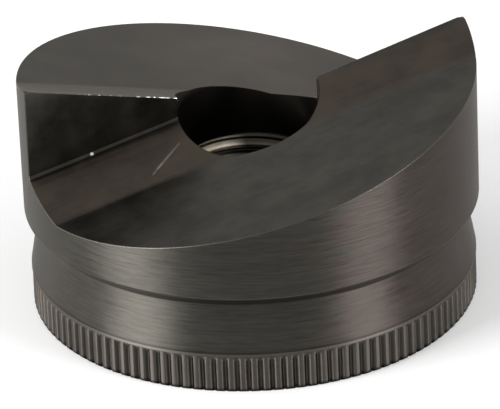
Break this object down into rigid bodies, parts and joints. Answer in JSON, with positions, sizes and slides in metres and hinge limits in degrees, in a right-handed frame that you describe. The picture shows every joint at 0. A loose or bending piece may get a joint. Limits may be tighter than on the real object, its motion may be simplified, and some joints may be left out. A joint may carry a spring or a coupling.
{
  "type": "knockout punch",
  "caption": "Slug-splitting knockout punch in blackened steel: a waisted round body with opposed cutting ramps on top, a knurled base ring and a stepped bore for a threaded draw stud.",
  "frame": {"origin": "centre of the flat base, on the axis of the bore", "axes": "+Z along the bore towards the cutting points, +X towards one of the two cutting points, the walls between the ramps parallel to XZ"},
  "size_m": [0.0614, 0.0614, 0.035],
  "materials": {
    "blackened_steel": "black oxide over fine turning and milling marks, satin, worn bright along the edges"
  },
  "bodies": {
    "root": {"punch": "blackened_steel"}
  },
  "joints": []
}
